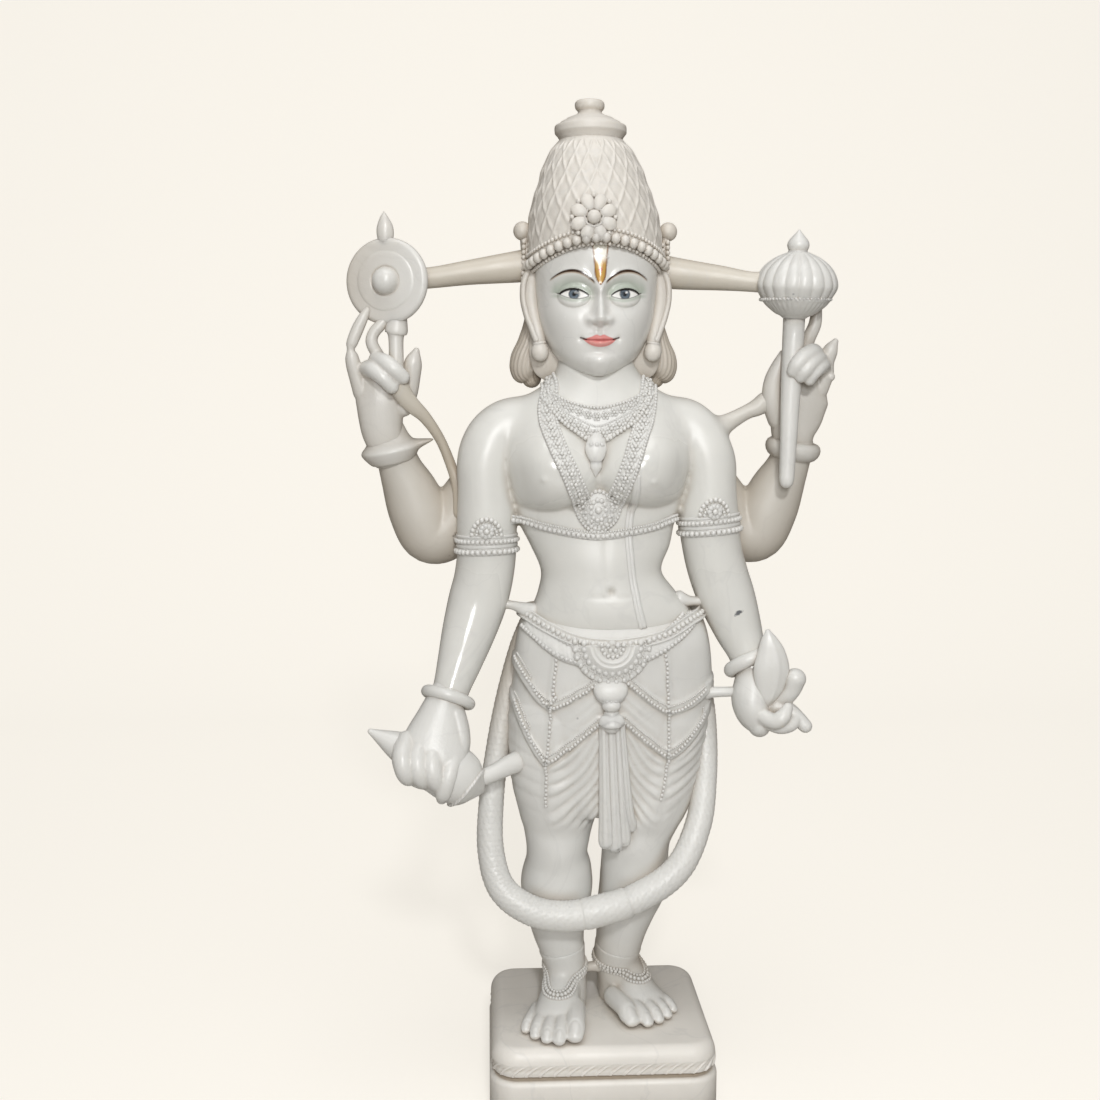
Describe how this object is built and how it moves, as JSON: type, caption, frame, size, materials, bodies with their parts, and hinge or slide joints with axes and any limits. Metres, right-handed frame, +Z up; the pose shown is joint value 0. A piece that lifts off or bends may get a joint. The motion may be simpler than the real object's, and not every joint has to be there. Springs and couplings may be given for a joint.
{
  "type": "vishnu figure",
  "caption": "Standing Vishnu figure in white marble: tall crown, discus, mace, conch and lotus petal in its hands, long garland, carved with its rope-edged plinth.",
  "frame": {"origin": "middle of the plinth's flat underside", "axes": "+Z up along the figure; the figure faces -Y; +X is the viewer's right"},
  "size_m": [0.4495, 0.18, 0.915],
  "materials": {
    "marble": "polished white marble on skin and attributes, honed on jewellery and cloth"
  },
  "bodies": {
    "root": {"vishnu_figure": "marble"}
  },
  "joints": []
}
